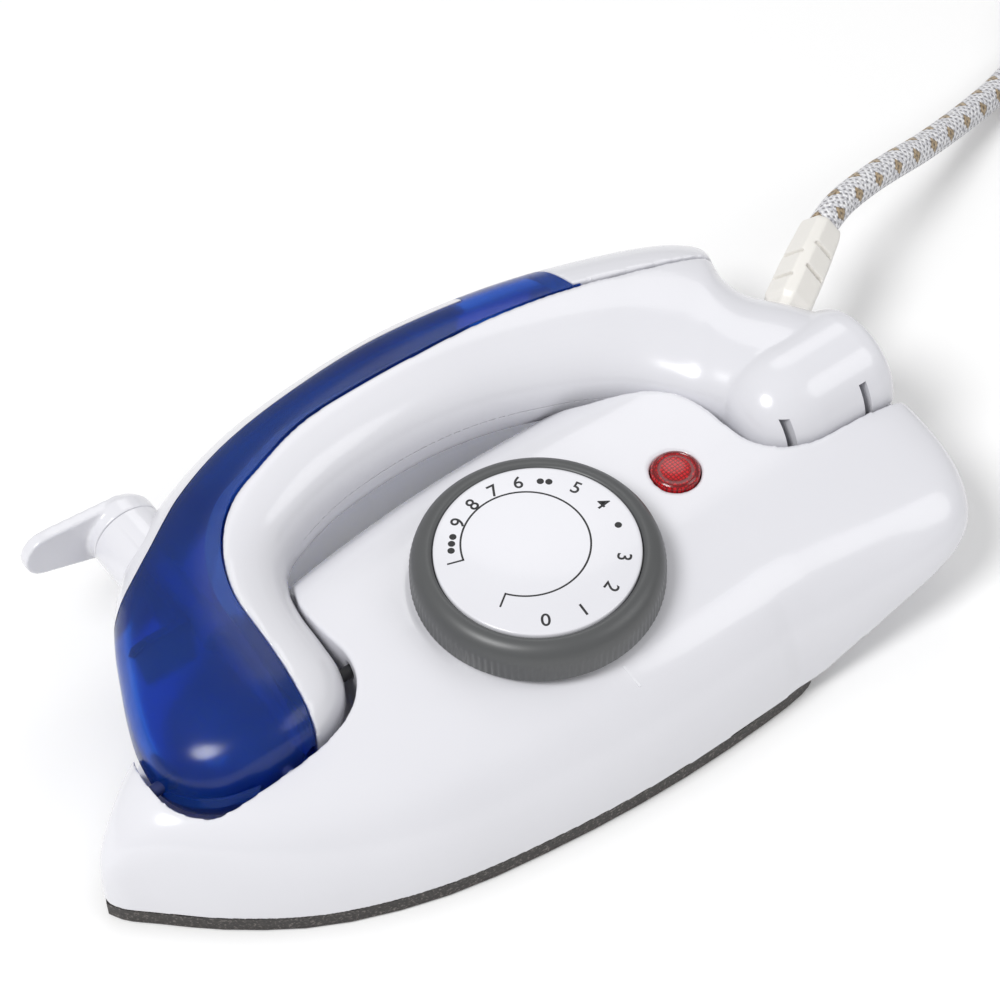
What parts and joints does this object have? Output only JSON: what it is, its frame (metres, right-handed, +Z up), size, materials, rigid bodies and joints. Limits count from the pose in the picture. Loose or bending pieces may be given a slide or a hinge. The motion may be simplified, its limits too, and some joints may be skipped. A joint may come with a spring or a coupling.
{
  "type": "folding travel steam iron",
  "caption": "Small steam iron with a pointed soleplate, a temperature dial, a water tank in a handle that folds down beside the body, and a coiled mains cord.",
  "frame": {"origin": "middle of the soleplate's flat ironing face", "axes": "+X towards the heel, -X towards the tip, +Z up away from the ironing face, handle folded down on the +Y side"},
  "size_m": [0.4288, 0.1277, 0.0433],
  "materials": {
    "sole_coating": "dark speckled non-stick coating",
    "cast_aluminium": "as cast",
    "steel": "plated",
    "white_plastic": "glossy moulded",
    "red_lens": "translucent red",
    "lamp_glass": "clear glass",
    "ceramic": "matt",
    "brass": "bright",
    "seal_rubber": "soft",
    "wire_brown": "insulation",
    "wire_blue": "insulation",
    "wire_green": "insulation",
    "grey_plastic": "satin",
    "blue_tank": "translucent deep blue",
    "ivory_plastic": "satin",
    "cord_braid": "woven braid",
    "black_plastic": "satin"
  },
  "bodies": {
    "body": {"soleplate": "sole_coating", "heating_casting": "cast_aluminium", "heating_element": "steel", "steam_chamber_cover": "steel", "heat_shield": "steel", "shield_screw_1": "steel", "shield_screw_2": "steel", "shield_screw_3": "steel", "body_housing": "white_plastic", "heel_screw_1": "steel", "heel_screw_2": "steel", "lamp_lens": "red_lens", "neon_lamp": "lamp_glass", "thermostat_body": "ceramic", "bimetal_blade": "brass", "contact_blade": "brass", "hinge_bracket": "steel", "hinge_axle": "steel", "front_pin_nose": "steel", "front_pin_rear": "steel", "inlet_seal": "seal_rubber", "terminal_block": "ceramic", "thermal_fuse": "cast_aluminium", "live_wire": "wire_brown", "neutral_wire": "wire_blue", "earth_wire": "wire_green", "cord": "cord_braid", "cord_coil": "cord_braid", "cord_tail": "cord_braid", "cord_tie": "black_plastic", "plug_body": "ivory_plastic", "plug_blade_left": "brass", "plug_blade_right": "brass"},
    "dial": {"thermostat_spindle": "brass", "dial_ring": "grey_plastic", "dial_face": "white_plastic", "spindle_clip": "steel"},
    "handle": {"grip_upper": "white_plastic", "grip_lower": "white_plastic", "handle_screw_1": "steel", "handle_screw_2": "steel", "handle_screw_3": "steel", "tank_upper": "blue_tank", "tank_lower": "blue_tank", "spine_strip": "white_plastic", "rear_cap": "white_plastic", "strain_relief": "ivory_plastic"},
    "lever": {"steam_lever": "white_plastic", "valve_rod": "steel"}
  },
  "joints": [
    {"name": "handle_fold", "type": "hinge", "parent": "body", "child": "handle", "pos_m": [0.1, 0.002, 0.0285], "axis": [1, 0, 0], "range_deg": [0, 90]},
    {"name": "dial_turn", "type": "hinge", "parent": "body", "child": "dial", "pos_m": [0.029, -0.0056, 0.04], "axis": [0, 0, 1], "range_deg": [-245, 35]},
    {"name": "lever_turn", "type": "hinge", "parent": "handle", "child": "lever", "pos_m": [-0.0295, 0.06, 0.0285], "axis": [0, 1, 0], "range_deg": [-15, 75]}
  ]
}
